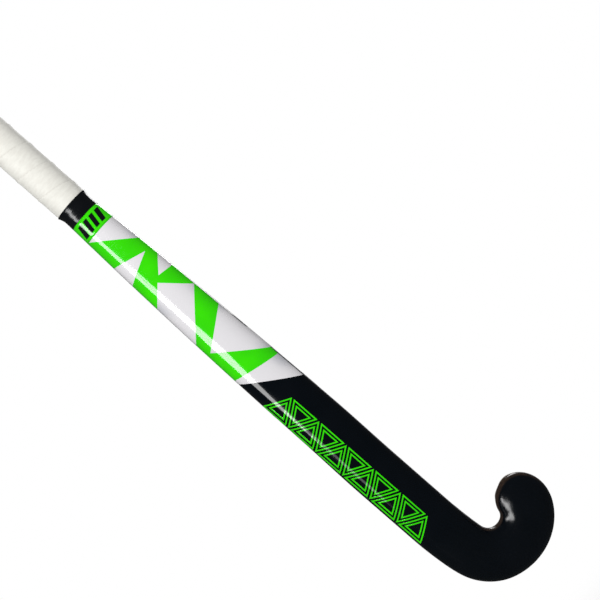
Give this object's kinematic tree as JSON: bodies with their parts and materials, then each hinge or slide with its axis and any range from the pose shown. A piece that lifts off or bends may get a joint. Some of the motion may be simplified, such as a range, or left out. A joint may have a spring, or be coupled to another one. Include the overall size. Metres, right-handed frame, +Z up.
{
  "type": "field hockey stick",
  "caption": "Right-handed composite field hockey stick: flat playing face, rounded back, hooked head, bowed shaft, spiral-wrapped grip.",
  "frame": {"origin": "on the handle's axis, halfway along the exposed grip, where a hand or a holder grips the stick", "axes": "+Z up along the handle to the butt, the flat playing face towards -Y, the rounded back towards +Y, the toe of the hook towards -X"},
  "size_m": [0.1138, 0.0693, 0.9262],
  "materials": {
    "laminate_black": "clear-coated blue-black composite, glossy on the shaft and dull on the head",
    "braided_tube": "cured braided composite, bare",
    "damping_rubber": "soft elastomer strip",
    "core_foam": "rigid closed-cell foam",
    "aramid": "yellow woven aramid, resin-wetted",
    "plug_plastic": "moulded plastic",
    "cap_rubber": "off-white rubber",
    "grip_felt": "soft felt backing",
    "grip_white": "white synthetic leather tape, matt and slightly tacky",
    "tape_black": "glossy black vinyl tape",
    "decal_green": "neon green ink under clear coat",
    "decal_black": "black ink under clear coat",
    "decal_white": "white ink under clear coat",
    "decal_satin": "satin dark grey",
    "decal_silver": "pearl silver-white ink under clear coat"
  },
  "bodies": {
    "root": {"outer_laminate": "laminate_black", "inner_tube_heel": "braided_tube", "inner_tube_toe": "braided_tube", "damping_strip": "damping_rubber", "head_core": "core_foam", "head_aramid_sleeve": "aramid", "handle_foam": "core_foam", "butt_plug": "plug_plastic", "butt_cap": "cap_rubber", "grip_underlay": "grip_felt", "grip_tape": "grip_white", "finishing_tape": "tape_black", "collar_band_decal": "decal_green", "collar_mark_decal": "decal_black", "face_white_decal": "decal_white", "face_emblem_decal": "decal_green", "face_satin_band": "decal_satin", "back_silver_decal": "decal_silver", "back_green_decal": "decal_green", "back_outline_decal": "decal_green"}
  },
  "joints": []
}
